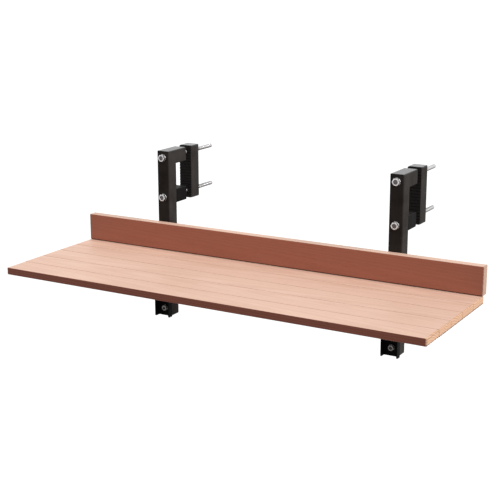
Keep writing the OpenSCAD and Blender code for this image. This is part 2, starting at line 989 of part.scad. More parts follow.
bracket_bolts(LEFT);  // left_bracket_bolts
bracket_bolts(RIGHT);  // right_bracket_bolts
bracket_washers(LEFT);  // left_bracket_washers
bracket_washers(RIGHT);  // right_bracket_washers
bracket_nuts(LEFT);  // left_bracket_nuts
bracket_nuts(RIGHT);  // right_bracket_nuts
table_arm(LEFT);  // left_table_arm
table_arm(RIGHT);  // right_table_arm
hinge_pin(LEFT);  // left_hinge_pin
hinge_pin(RIGHT);  // right_hinge_pin
stay(LEFT);  // left_stay
stay(RIGHT);  // right_stay
stay_pivot(LEFT);  // left_stay_pivot
stay_pivot(RIGHT);  // right_stay_pivot
stay_bolt(LEFT);  // left_stay_bolt
stay_bolt(RIGHT);  // right_stay_bolt
stay_spacers(LEFT);  // left_stay_spacers
stay_spacers(RIGHT);  // right_stay_spacers
stay_washers(LEFT);  // left_stay_washers
stay_washers(RIGHT);  // right_stay_washers
knob(LEFT);  // left_knob
knob(RIGHT);  // right_knob
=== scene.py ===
"""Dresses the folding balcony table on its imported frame, lights it and sets the camera."""
import logging
import math
from collections.abc import Callable, Iterable, Sequence
from dataclasses import dataclass
from enum import Enum
from functools import cache

import bmesh
import bpy
from mathutils import Matrix, Vector


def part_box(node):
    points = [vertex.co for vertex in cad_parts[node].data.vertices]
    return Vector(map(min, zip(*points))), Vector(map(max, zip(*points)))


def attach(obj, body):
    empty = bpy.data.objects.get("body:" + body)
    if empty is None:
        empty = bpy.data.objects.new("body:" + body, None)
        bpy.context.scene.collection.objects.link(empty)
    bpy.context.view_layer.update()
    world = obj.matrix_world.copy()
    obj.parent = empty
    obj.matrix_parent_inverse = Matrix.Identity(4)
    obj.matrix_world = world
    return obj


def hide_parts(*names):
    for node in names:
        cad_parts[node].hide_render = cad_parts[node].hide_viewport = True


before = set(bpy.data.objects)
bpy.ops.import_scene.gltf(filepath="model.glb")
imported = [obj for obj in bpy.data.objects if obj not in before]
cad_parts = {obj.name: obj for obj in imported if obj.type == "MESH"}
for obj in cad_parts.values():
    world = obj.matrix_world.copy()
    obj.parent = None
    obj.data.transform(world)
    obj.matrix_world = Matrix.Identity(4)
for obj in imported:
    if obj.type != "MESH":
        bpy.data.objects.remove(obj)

Colour = tuple[float, float, float]
Pair = tuple[float, float]
Triple = tuple[float, float, float]
Profile = Sequence[Pair]
Reshape = Callable[[float, float, float], Pair]
Socket = bpy.types.NodeSocket

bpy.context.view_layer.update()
MM = 0.001
FULL_TURN = 2 * math.pi
LOG = logging.getLogger("balcony_table")

# Attribute that carries a plank's place in its log.
GRAIN = "grain"
# Radians that a wave texture of scale 1 turns through in one metre.
WAVE_RATE = 20
# World normal Z where the grey painted on upward faces as sheen starts, and where it is full.
TOP_SHEEN_SPAN: Pair = (0.45, 0.95)
# Grey painted on upward faces of the black coat and plastic: a painted sheen.
TOP_SHEEN_GREY: Colour = (0.040, 0.038, 0.040)
# Edges that bend more than this stay sharp.
CREASE = math.radians(32)
# Slope of the corners that are turned off a hexagon.
CORNER_SLOPE = math.radians(30)
# Reach in millimetres within which turned points, and the turns of a thread, merge.
MERGE = 1e-4
THREAD_MERGE = 1e-3
# Slack in millimetres when a made point is compared with its profile.
SLACK = 1e-3


class Side(Enum):
    """Bracket of the table, as seen by the person who sits at it."""

    LEFT = "left"
    RIGHT = "right"

    @property
    def outward(self) -> int:
        """Sign of the X direction that points away from the middle of the table."""
        return -1 if self is Side.LEFT else 1

    def node(self, name: str) -> str:
        """Name of this side's CAD node or body."""
        return f"{self.value}_{name}"


class Level(Enum):
    """Height of a clamp screw on its jaw."""

    UPPER = "upper"
    LOWER = "lower"


class Facing(Enum):
    """Direction in which the head of a turned part points."""

    DOWN = (0, 0, -1)
    REARWARD = (0, 1, 0)
    FRONTWARD = (0, -1, 0)
    RIGHTWARD = (1, 0, 0)
    LEFTWARD = (-1, 0, 0)

    def at(self, point: Sequence[float]) -> Matrix:
        """Matrix that carries a part made in millimetres along Z to a point in metres."""
        turn = Vector((0, 0, 1)).rotation_difference(Vector(self.value)).to_matrix().to_4x4()
        return Matrix.Translation(point) @ turn @ Matrix.Scale(MM, 4)


class BoardFace(Enum):
    """Kind of a board's face, with the number of its finish."""

    TOP = 0
    SIDE = 1
    END = 2
    UNDERSIDE = 3


class Graph:
    """Node tree of one material that ends in a Principled shader."""

    # Sockets of a mix node that mixes colours.
    MIX_SHARE, MIX_FIRST, MIX_SECOND, MIX_RESULT = 0, 6, 7, 2

    def __init__(self, name: str) -> None:
        """Start a material.

        Args:
            name: Name of the material.
        """
        self.material = bpy.data.materials.new(name)
        self.material.use_nodes = True
        self.nodes = self.material.node_tree.nodes
        self.links = self.material.node_tree.links
        self.shader = self.nodes["Principled BSDF"]

    def add(self, kind: str, inputs: dict[str | int, object] | None = None,
            **settings: object) -> bpy.types.Node:
        """Add a node.

        Args:
            kind: Class name of the node.
            inputs: Values or sockets for its inputs, by name or by number.
            settings: Properties of the node.

        Returns:
            The new node.
        """
        node = self.nodes.new(kind)
        for key, value in settings.items():
            setattr(node, key, value)
        for key, value in (inputs or {}).items():
            self.feed(node.inputs[key], value)
        return node

    def feed(self, socket: Socket, value: object) -> None:
        """Link a socket to an input, or set the input's own value.

        Args:
            socket: The input.
            value: A socket or a value.
        """
        if isinstance(value, Socket):
            self.links.new(value, socket)
        else:
            socket.default_value = value

    def stretched(self, vector: Socket, scale: Triple) -> Socket:
        """A vector times a scale on each axis."""
        return self.add("ShaderNodeMapping", {"Vector": vector, "Scale": scale}).outputs["Vector"]

    def own_place(self, scale: Triple) -> Socket:
        """Object coordinates, stretched by a scale."""
        return self.stretched(self.add("ShaderNodeTexCoord").outputs["Object"], scale)

    def upward(self) -> Socket:
        """How far the surface faces up, from -1 to 1."""
        normal = self.add("ShaderNodeNewGeometry").outputs["Normal"]
        return self.add("ShaderNodeSeparateXYZ", {0: normal}).outputs["Z"]

    def noise(self, vector: Socket, detail: float = 2.0, rough: float = 0.5) -> Socket:
        """Noise from 0 to 1 whose cells are one unit of the vector across."""
        inputs = {"Vector": vector, "Scale": 1.0, "Detail": detail, "Roughness": rough}
        return self.add("ShaderNodeTexNoise", inputs).outputs[0]

    def own_noise(self, rate: float, detail: float = 2.0, rough: float = 0.5) -> Socket:
        """Noise that is fixed to the piece, with this many cells to the metre."""
        return self.noise(self.own_place((rate,) * 3), detail, rough)

    def between(self, value: Socket, results: Pair, span: Pair = (0.25, 0.75)) -> Socket:
        """A value carried from a span to the results at the span's ends, and held there."""
        ends = dict(zip(("From Min", "From Max", "To Min", "To Max"), (*span, *results)))
        return self.add("ShaderNodeMapRange", {"Value": value, **ends}).outputs["Result"]

    def maths(self, operation: str, first: object, second: object) -> Socket:
        """One arithmetic step on two values or sockets."""
        return self.add("ShaderNodeMath", {0: first, 1: second}, operation=operation).outputs[0]

    def blend(self, share: Socket, first: object, second: Colour) -> Socket:
        """Mix of two colours.

        Args:
            share: Share of the second colour.
            first: First colour, or its socket.
            second: Second colour.

        Returns:
            The mixed colour.
        """
        node = self.add("ShaderNodeMix", data_type="RGBA")
        self.feed(node.inputs[self.MIX_SHARE], share)
        self.feed(node.inputs[self.MIX_FIRST], (*first, 1.0) if isinstance(first, tuple) else first)
        self.feed(node.inputs[self.MIX_SECOND], (*second, 1.0))
        return node.outputs[self.MIX_RESULT]

    def ramp(self, value: Socket, dark: Colour, light: Colour, band: Pair = (0.3, 0.7)) -> Socket:
        """Colour between two tones.

        Args:
            value: Place between the tones.
            dark: Linear colour up to the start of the band.
            light: Linear colour from its end on.
            band: Start and end of the band.

        Returns:
            The colour.
        """
        node = self.add("ShaderNodeValToRGB", {"Fac": value})
        for element, place, colour in zip(node.color_ramp.elements, band, (dark, light)):
            element.position = place
            element.color = (*colour, 1.0)
        return node.outputs["Color"]

    def rough_skin(self, height: Socket, strength: float, depth: float) -> None:
        """Bump of the surface, with its depth in metres."""
        bump = self.add("ShaderNodeBump", {"Height": height, "Strength": strength, "Distance": depth})
        self.set(Normal=bump.outputs["Normal"])

    def set(self, **values: object) -> None:
        """Set or link inputs of the shader, with spaces in their names written as underscores."""
        for key, value in values.items():
            self.feed(self.shader.inputs[key.replace("_", " ")], value)


@dataclass(frozen=True)
class Timber:
    """Oiled red-brown timber, or one kind of its faces. Rates are cells to the metre."""

    name: str
    dark: Colour
    light: Colour
    tone_band: Pair = (0.22, 0.74)
    gloss: float = 0.1
    roughness: Pair = (0.42, 0.56)
    ring_spacing: float = 0.0042
    ring_share: float = 0.26
    ring_stretch: Triple = (0.06, 1.0, 1.0)
    fibre_share: float = 0.44
    fibre_rates: Triple = (13, 620, 620)
    cloud_rates: Triple = (2.2, 14, 14)
    pore_share: float = 0.22
    pore_shade: float = 0.5
    pore_depth: float = 0.6
    pore_band: Pair = (0.60, 0.74)
    pore_rates: Triple = (48, 1300, 1300)
    relief: float = 0.16
    relief_depth: float = 0.0002
    foot_shade_height: float = 0.0
    foot_shade_core: float = 0.6
    foot_shade_share: float = 0.9
    foot_shade: Colour = (0.090, 0.040, 0.026)

    @cache
    def material(self) -> bpy.types.Material:
        """Grain from growth rings, fibres and pores along the plank.

        Returns:
            The material.
        """
        graph = Graph(self.name)
        grain = graph.add("ShaderNodeAttribute", attribute_name=GRAIN).outputs["Vector"]
        rings = graph.add("ShaderNodeTexWave", {
            "Vector": graph.stretched(grain, self.ring_stretch),
            "Scale": FULL_TURN / (WAVE_RATE * self.ring_spacing),
            "Distortion": 3.2, "Detail": 2.0, "Detail Scale": 0.35, "Detail Roughness": 0.55,
        }, wave_type="RINGS", rings_direction="X", wave_profile="SIN").outputs["Fac"]
        fibre = graph.noise(graph.stretched(grain, self.fibre_rates), 3.0, 0.6)
        cloud = graph.noise(graph.stretched(grain, self.cloud_rates))
        pores = graph.between(graph.noise(graph.stretched(grain, self.pore_rates), 1.0),
                              (0.0, 1.0), self.pore_band)
        rings_part = graph.maths("MULTIPLY", rings, self.ring_share)
        fibre_part = graph.maths("MULTIPLY", fibre, self.fibre_share)
        cloud_part = graph.maths("MULTIPLY", cloud, 1.0 - self.ring_share - self.fibre_share)
        tone = graph.maths("ADD", rings_part, graph.maths("ADD", fibre_part, cloud_part))
        colour = graph.ramp(tone, self.dark, self.light, self.tone_band)
        deep = tuple(self.pore_shade * channel for channel in self.dark)
        colour = graph.blend(graph.maths("MULTIPLY", pores, self.pore_share), colour, deep)
        # Darkens the lowest part of the face towards the foot colour: painted shade along the lower edge.
        if self.foot_shade_height:
            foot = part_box("board_1")[0].z
            span = (foot + self.foot_shade_core * self.foot_shade_height, foot + self.foot_shade_height)
            height = graph.add("ShaderNodeSeparateXYZ", {0: graph.own_place((1, 1, 1))}).outputs["Z"]
            colour = graph.blend(graph.between(height, (self.foot_shade_share, 0.0), span), colour, self.foot_shade)
        graph.set(Base_Color=colour, Roughness=graph.between(fibre, self.roughness),
                  Specular_IOR_Level=self.gloss)
        height = graph.maths("SUBTRACT", fibre, graph.maths("MULTIPLY", pores, self.pore_depth))
        graph.rough_skin(height, self.relief, self.relief_depth)
        return graph.material


@dataclass(frozen=True)
class PowderCoat:
    """Black powder coat on steel with a faint peel; upward faces are painted grey in patches as sheen and
    carry a clear coat.
    """

    name: str
    dark: Colour = (0.0200, 0.0170, 0.0157)
    light: Colour = (0.0340, 0.0300, 0.0275)
    top_sheen: Colour = TOP_SHEEN_GREY
    sheen_patch_low: float = 0.72
    gloss: float = 0.012
    roughness: Pair = (0.42, 0.58)
    polish: float = 1.0
    polish_roughness: float = 0.17
    cloud_rate: float = 30
    speck_rate: float = 110
    peel_rate: float = 520
    relief: float = 0.10
    relief_depth: float = 0.00012

    @cache
    def material(self) -> bpy.types.Material:
        """Dark coat with peel, thin spots, an uneven gloss, and a patchy painted sheen and clear coat on
        top.

        Returns:
            The material.
        """
        graph = Graph(self.name)
        paint = graph.ramp(graph.own_noise(self.cloud_rate, 3.0), self.dark, self.light)
        speck = graph.own_noise(self.speck_rate, 3.0, 0.6)
        # Upward faces are painted grey in patches: a painted sheen. The same share sets the clear coat
        # there.
        sheen_weight = graph.maths("MULTIPLY", graph.between(graph.upward(), (0.0, 1.0), TOP_SHEEN_SPAN),
                              graph.between(speck, (self.sheen_patch_low, 1.0)))
        graph.set(Base_Color=graph.blend(sheen_weight, paint, self.top_sheen), Specular_IOR_Level=self.gloss,
                  Roughness=graph.between(speck, self.roughness), Coat_Roughness=self.polish_roughness,
                  Coat_Weight=graph.maths("MULTIPLY", sheen_weight, self.polish))
        graph.rough_skin(graph.own_noise(self.peel_rate), self.relief, self.relief_depth)
        return graph.material


@dataclass(frozen=True)
class ZincPlate:
    """Bright zinc plate on screws, pins and washers."""

    name: str
    dark: Colour = (0.50, 0.49, 0.50)
    light: Colour = (0.78, 0.77, 0.77)
    roughness: Pair = (0.22, 0.36)
    under_shade: Colour = (0.070, 0.064, 0.062)
    under_shade_share: float = 0.85
    under_shade_band: Pair = (-0.40, 0.10)
    mottle_rate: float = 380
    scuff_rates: Triple = (90, 900, 900)
    relief: float = 0.12
    relief_depth: float = 0.00008

    @cache
    def material(self) -> bpy.types.Material:
        """Metal with a mottled tone, uneven gloss and painted shade on what faces down.

        Returns:
            The material.
        """
        graph = Graph(self.name)
        mottle = graph.own_noise(self.mottle_rate, 3.0, 0.6)
        scuff = graph.noise(graph.own_place(self.scuff_rates))
        plate = graph.ramp(mottle, self.dark, self.light)
        # What faces down is painted darker: painted shade under the part.
        below = graph.between(graph.upward(), (self.under_shade_share, 0.0), self.under_shade_band)
        graph.set(Base_Color=graph.blend(below, plate, self.under_shade), Metallic=1.0,
                  Roughness=graph.between(scuff, self.roughness))
        graph.rough_skin(mottle, self.relief, self.relief_depth)
        return graph.material


@dataclass(frozen=True)
class Moulded:
    """Black rubber or plastic with a fine moulded grain."""

    name: str
    colour: Colour
    roughness: Pair
    gloss: float
    top_sheen: Colour = TOP_SHEEN_GREY
    top_sheen_share: float = 0.85
    polish: float = 1.0
    polish_roughness: float = 0.20
    pale: float = 1.6
    flow_rate: float = 70
    grain_rate: float = 900
    relief: float = 0.3
    relief_depth: float = 0.0001

    @cache
    def material(self) -> bpy.types.Material:
        """Dark skin with grain, faint flow marks, and a painted sheen with a clear coat on top.

        Returns:
            The material.
        """
        graph = Graph(self.name)
        flow = graph.own_noise(self.flow_rate)
        pale = tuple(self.pale * channel for channel in self.colour)
        skin = graph.ramp(flow, self.colour, pale)
        # Upward faces are painted paler: a painted sheen. The same share sets the clear coat there.
        sheen_weight = graph.between(graph.upward(), (0.0, self.top_sheen_share), TOP_SHEEN_SPAN)
        graph.set(Base_Color=graph.blend(sheen_weight, skin, self.top_sheen), Specular_IOR_Level=self.gloss,
                  Roughness=graph.between(flow, self.roughness), Coat_Roughness=self.polish_roughness,
                  Coat_Weight=graph.maths("MULTIPLY", sheen_weight, self.polish))
        graph.rough_skin(graph.own_noise(self.grain_rate), self.relief, self.relief_depth)
        return graph.material


@dataclass(frozen=True)
class Finishes:
    """Every finish of the table."""

    # The tops are painted paler and greyer than the other faces: a painted sheen. The boards' sides and
    # undersides are painted darker than the upstand's face: painted shade.
    board_top_painted_sheen: Timber = Timber("board_top_painted_sheen", (0.645, 0.405, 0.300), (0.760, 0.512, 0.398), gloss=0.5)
    board_side_painted_shade: Timber = Timber("board_side_painted_shade", (0.198, 0.065, 0.043), (0.288, 0.101, 0.070))
    # The ends are painted dark along their lowest few millimetres: painted shade along the lower edge.
    board_end: Timber = Timber("board_end", (0.430, 0.243, 0.148), (0.572, 0.357, 0.232),
                               ring_share=0.55, fibre_share=0.25, foot_shade_height=0.0032)
    upstand_face: Timber = Timber("upstand_face", (0.385, 0.136, 0.088), (0.454, 0.172, 0.115),
                                  ring_share=0.14, fibre_share=0.50)
    # Dark finish on the upstand's downward faces: painted shade in the gap above the boards.
    upstand_underside_shade: Timber = Timber("upstand_underside_shade", (0.060, 0.022, 0.014), (0.090, 0.034, 0.022), gloss=0.05)
    upstand_end: Timber = Timber("upstand_end", (0.330, 0.200, 0.140), (0.440, 0.290, 0.215),
                                 ring_share=0.55, fibre_share=0.25)
    steel: PowderCoat = PowderCoat("black_powder_coat")
    # Darker, less glossy copy of the black coat for the lower arms, table arms, channels and stays: painted
    # shade.
    shaded_steel: PowderCoat = PowderCoat(
        "black_coat_painted_shade", (0.0030, 0.0026, 0.0026), (0.0062, 0.0054, 0.0052),
        (0.020, 0.019, 0.019), gloss=0.02, polish=0.1)
    zinc: ZincPlate = ZincPlate("bright_zinc")
    # Dark zinc for the dish in the bolt heads: painted shade in the recess.
    recess_shade: ZincPlate = ZincPlate("zinc_recess_shade", (0.085, 0.074, 0.078), (0.185, 0.168, 0.172), (0.42, 0.60))
    # Darker copies of the bright zinc and of its recess, for the fasteners under the table: painted shade.
    shaded_zinc: ZincPlate = ZincPlate("shaded_zinc", (0.120, 0.108, 0.108), (0.230, 0.210, 0.208),
                                     (0.38, 0.54))
    shaded_recess: ZincPlate = ZincPlate("shaded_zinc_recess_shade", (0.014, 0.012, 0.012),
                                       (0.034, 0.030, 0.030), (0.50, 0.66))
    rubber: Moulded = Moulded("black_rubber", (0.0110, 0.0095, 0.0092), (0.62, 0.80), 0.12,
                              top_sheen=(0.018, 0.016, 0.016), polish=0.0)
    plastic: Moulded = Moulded("black_plastic", (0.012, 0.012, 0.013), (0.40, 0.55), 0.3)

    def of(self, name: str) -> bpy.types.Material:
        """The material of a finish, by the finish's field name."""
        return getattr(self, name).material()


class Blank:
    """Workpiece in millimetres along its own Z axis, made with mesh operators."""

    # Half width of a thread's foot and tip in pitches, and its foot's depth in the core.
    THREAD_FOOT, THREAD_TIP, THREAD_SUNK = 0.40, 0.07, 0.08

    def __init__(self) -> None:
        """Start an empty workpiece."""
        self.mesh = bmesh.new()

    @staticmethod
    def spun(profile: Profile, steps: int, closed: bool, rise: float = 0.0) -> bmesh.types.BMesh:
        """Spin a profile once round the axis.

        Args:
            profile: Radius and height of each point.
            steps: Faces round the axis.
            closed: Whether the profile is a closed loop.
            rise: Rise of each step.

        Returns:
            The mesh, open at both ends where it rises.
        """
        part = bmesh.new()
        points = [part.verts.new((radius, 0, height)) for radius, height in profile]
        pairs = list(zip(points, points[1:] + points[:1]))
        lines = [part.edges.new(pair) for pair in (pairs if closed else pairs[:-1])]
        bmesh.ops.spin(part, geom=points + lines, axis=(0, 0, 1), cent=(0, 0, 0),
                       dvec=(0, 0, rise), angle=FULL_TURN, steps=steps, use_merge=not rise)
        return part

    def turned(self, profile: Profile, steps: int, closed: bool = False,
               reshape: Reshape | None = None) -> "Blank":
        """Turn a profile round the axis.

        Args:
            profile: Radius and height of each point, from the bottom up.
            steps: Faces round the axis.
            closed: Whether the profile is a closed loop, as on a ring.
            reshape: Scale and height of a point, from its radius, turn and height.

        Returns:
            The workpiece.
        """
        part = self.spun(profile, steps, closed)
        bmesh.ops.remove_doubles(part, verts=part.verts, dist=MERGE)
        for vertex in part.verts if reshape else ():
            x, y, z = vertex.co
            scale, z = reshape(math.hypot(x, y), math.atan2(y, x), z)
            vertex.co = (x * scale, y * scale, z)
        bmesh.ops.recalc_face_normals(part, faces=part.faces)
        self.take(part)
        return self

    def threaded(self, root: float, crest: float, pitch: float, start: float, end: float,
                 steps: int = 14) -> "Blank":
        """Wind a thread's ridge round the axis.

        Args:
            root: Radius of the core.
            crest: Outside radius of the thread.
            pitch: Rise of one turn.
            start: Height at which the ridge starts.
            end: Height at which it ends.
            steps: Faces of one turn.

        Returns:
            The workpiece.
        """
        foot, tip = self.THREAD_FOOT * pitch, self.THREAD_TIP * pitch
        inside = root - self.THREAD_SUNK * crest
        outline = ((inside, -foot), (root, -foot), (crest, -tip), (crest, tip), (root, foot),
                   (inside, foot))
        profile = [(radius, start + foot + height) for radius, height in outline]
        part = self.spun(profile, steps, True, pitch / steps)
        one_turn = [*part.verts, *part.edges, *part.faces]
        for number in range(1, max(1, int((end - start - 2 * foot) / pitch))):
            copied = bmesh.ops.duplicate(part, geom=one_turn)["geom"]
            points = [item for item in copied if isinstance(item, bmesh.types.BMVert)]
            bmesh.ops.translate(part, verts=points, vec=(0, 0, number * pitch))
        bmesh.ops.remove_doubles(part, verts=part.verts, dist=THREAD_MERGE)
        bmesh.ops.holes_fill(part, edges=[edge for edge in part.edges if edge.is_boundary])
        bmesh.ops.recalc_face_normals(part, faces=part.faces)
        self.take(part)
        return self

    def take(self, part: bmesh.types.BMesh) -> None:
        """Move another mesh into the workpiece.

        Args:
            part: The mesh, which is freed.
        """
        shell = bpy.data.meshes.new("shell")
        part.to_mesh(shell)
        part.free()
        self.mesh.from_mesh(shell)
        bpy.data.meshes.remove(shell)

    def placed(self, places: Iterable[Matrix]) -> "Blank":
        """Put a copy of the workpiece at each place.

        Args:
            places: Placing matrices.

        Returns:
            A new workpiece in metres, with all the copies.
        """
        result = Blank()
        for place in places:
            copy = self.mesh.copy()
            bmesh.ops.transform(copy, matrix=place, verts=copy.verts)
            result.take(copy)
        self.mesh.free()
        return result


def hexagonal(flats: float, top: float) -> Reshape:
    """Reshape that presses the widest points of a turned part into a hexagon.

    Args:
        flats: Width across the flats.
        top: Height of the end that has its corners turned off.

    Returns:
        The reshape.
    """
    sixth = FULL_TURN / 6
    corner = flats / math.sqrt(3)

    def reshape(radius: float, turn: float, height: float) -> Pair:
        """Press one point.

        Args:
            radius: Its distance from the axis.
            turn: Its direction from the axis.
            height: Its height.

        Returns:
            Its scale and its height.
        """
        if radius < corner - SLACK:
            return 1.0, height
        reach = flats / 2 / math.cos(turn % sixth - sixth / 2)
        if abs(height - top) < SLACK:
            height = top - math.copysign((reach - flats / 2) * math.tan(CORNER_SLOPE), top)
        return reach / radius, height

    return reshape


@dataclass
class Assembly:
    """Part of the table that knows how to hand its pieces to the frame."""

    finishes: Finishes

    def dress(self, finish: str, *nodes: str) -> None:
        """Give CAD nodes that keep their shape a finish.

        Args:
            finish: Field name of the finish.
            nodes: Names of the nodes.
        """
        for name in nodes:
            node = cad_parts[name]
            if not node.material_slots:
                node.data.materials.append(None)
            for slot in node.material_slots:
                slot.material = self.finishes.of(finish)
            LOG.info("dressed %s as %s", name, finish)

    def hand_over(self, work: Blank, name: str, body: str, node: str, *finishes: str,
                  slot: str = "zinc_steel") -> None:
        """Make a piece from a workpiece in metres and put it on its body.

        Args:
            work: Finished workpiece.
            name: Name of the piece.
            body: Body that carries it.
            node: CAD node that it stands for.
            finishes: Field names of the finishes, in the order of the faces' material numbers.
            slot: Not used.
        """
        data = bpy.data.meshes.new(name)
        work.mesh.to_mesh(data)
        work.mesh.free()
        for finish in finishes:
            data.materials.append(self.finishes.of(finish))
        data.shade_smooth()
        data.set_sharp_from_angle(angle=CREASE)
        piece = bpy.data.objects.new(name, data)
        bpy.context.scene.collection.objects.link(piece)
        leveller = piece.modifiers.new("flat_faces_stay_flat", "WEIGHTED_NORMAL")
        leveller.mode, leveller.weight, leveller.keep_sharp = "FACE_AREA", 100, True
        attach(piece, body)
        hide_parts(node)
        LOG.info("made %s with %d faces", name, len(data.polygons))


@dataclass(frozen=True)
class PanScrew:
    """Sizes of a wood screw, in millimetres, with shares of its head's radius and height."""

    radius: float = 1.9
    pitch: float = 1.8
    core_share: float = 0.68
    head_radius: float = 4.0
    head_height: float = 2.4
    edge: float = 0.2
    dome: Profile = ((1.0, 0.32), (0.93, 0.62), (0.76, 0.88), (0.52, 1.0))
    drive: Pair = (0.42, 0.35)
    lobes: int = 6
    lobe_depth: float = 0.13


@dataclass(frozen=True)
class HexBolt:
    """Sizes of a hexagon bolt, in millimetres, with the radius and depth of the dish in its head."""

    radius: float = 3.0
    pitch: float = 1.0
    flats: float = 10.0
    height: float = 4.0
    dish: Pair = (2.9, 0.7)


@dataclass
class Screws:
    """Makes the screws, bolts, nuts and washers. Sizes are in millimetres."""

    head_steps: int = 48
    shank_steps: int = 24
    washer_steps: int = 40
    crown_steps: int = 24
    core_steps: int = 12
    wood_thread_steps: int = 10
    bearing_bevel: Pair = (0.3, 0.15)
    top_bevel: float = 0.35
    bore_bevel: Pair = (0.6, 0.5)
    tip_bevel: float = 0.4
    dish_lip: float = 0.12
    dish_reach: float = 0.6
    dish_slack: float = 0.1
    core_share: float = 0.541
    collar_depth: float = 0.2
    collar_pitches: float = 2
    thread_tip: float = 0.6
    thread_end: float = 1.5
    wood_thread_end: float = 0.2
    roll_share: float = 0.28
    roll_bend: float = 0.35

    def sides(self, flats: float, height: float) -> Profile:
        """Profile of a hexagon's outside.

        Args:
            flats: Width across the flats.
            height: Height of the hexagon.

        Returns:
            Radius and height of each point, from the bearing face to the top.
        """
        inset, rise = self.bearing_bevel
        corner = flats / math.sqrt(3)
        return ((flats / 2 - inset, 0), (corner, rise), (corner, height),
                (flats / 2 - self.top_bevel, height))

    def bolt(self, size: HexBolt, length: float) -> Blank:
        """Hexagon bolt with a dished head, threaded to its end.

        Args:
            size: Sizes of the bolt.
            length: Length under the head.

        Returns:
            The workpiece, its shank below the origin.
        """
        height, (dish, depth) = size.height, size.dish
        lip = self.dish_lip * dish
        profile = (
            (0, 0), *self.sides(size.flats, height), (dish + lip, height),
            (dish, height - lip / 2), (dish - lip, height - depth), (0, height - depth),
        )
        work = Blank().turned(profile, self.head_steps, reshape=hexagonal(size.flats, height))
        # The dish in the head takes the second, darker finish: painted shade in the recess.
        lowest, widest = height - depth - self.dish_slack, dish + self.dish_reach * lip
        for face in work.mesh.faces:
            middle = face.calc_center_median()
            if middle.z > lowest and math.hypot(middle.x, middle.y) < widest:
                face.material_index = 1
        radius, pitch, tip = size.radius, size.pitch, self.tip_bevel
        root = radius - self.core_share * pitch
        inside, collar = root - self.collar_depth, -self.collar_pitches * pitch
        shank = ((0, -length), (root - tip, -length), (root, tip - length), (root, 0), (0, 0))
        ring = ((inside, collar), (radius, collar), (radius, 0), (inside, 0))
        work.turned(shank, self.shank_steps).turned(ring, self.shank_steps, closed=True)
        return work.threaded(root, radius, pitch, self.thread_tip - length, -self.thread_end * pitch)

    def nut(self, radius: float, flats: float, height: float) -> Blank:
        """Hexagon nut.

        Args:
            radius: Radius of its bore.
            flats: Width across the flats.
            height: Height of the nut.

        Returns:
            The workpiece, standing on its origin.
        """
        inset, rise = self.bore_bevel
        profile = ((radius, rise), (radius + inset, 0), *self.sides(flats, height),
                   (radius + inset, height), (radius, height - rise))
        return Blank().turned(profile, self.head_steps, True, hexagonal(flats, height))

    def washer(self, outer: float, inner: float, thickness: float) -> Blank:
        """Punched washer with one rolled edge.

        Args:
            outer: Outside radius.
            inner: Radius of its hole.
            thickness: Thickness of the sheet.

        Returns:
            The workpiece, standing on its origin.
        """
        roll = self.roll_share * thickness
        bend = self.roll_bend * roll
        profile = (
            (inner, roll / 2), (inner + roll / 2, 0), (outer - roll / 3, 0), (outer, roll / 3),
            (outer, thickness - roll), (outer - bend, thickness - bend),
            (outer - roll, thickness), (inner + roll, thickness), (inner, thickness - roll),
        )
        return Blank().turned(profile, self.washer_steps, closed=True)

    def wood_screw(self, length: float, screw: PanScrew) -> Blank:
        """Pan-head wood screw with a lobed drive.

        Args:
            length: Length under the head.
            screw: Sizes of the screw.

        Returns:
            The workpiece, its point below the origin.
        """
        radius, height = screw.head_radius, screw.head_height
        drive, floor = screw.drive[0] * radius, screw.drive[1] * height
        crown = (
            (0, 0), (radius - screw.edge, 0), (radius, screw.edge),
            *((across * radius, up * height) for across, up in screw.dome),
            (drive, height), (drive, floor), (0, floor),
        )
        core, point = screw.core_share * screw.radius, 2 * screw.radius - length

        def lobed(reach: float, turn: float, height: float) -> Pair:
            """Scale and height of one point of the drive."""
            depth = screw.lobe_depth if SLACK < reach <= drive + SLACK else 0
            return 1 + depth * (math.cos(screw.lobes * turn) - 1), height

        work = Blank().turned(crown, self.crown_steps, reshape=lobed)
        work.turned(((0, -length), (core, point), (core, 0), (0, 0)), self.core_steps)
        return work.threaded(core, screw.radius, screw.pitch, point, -self.wood_thread_end,
                             self.wood_thread_steps)


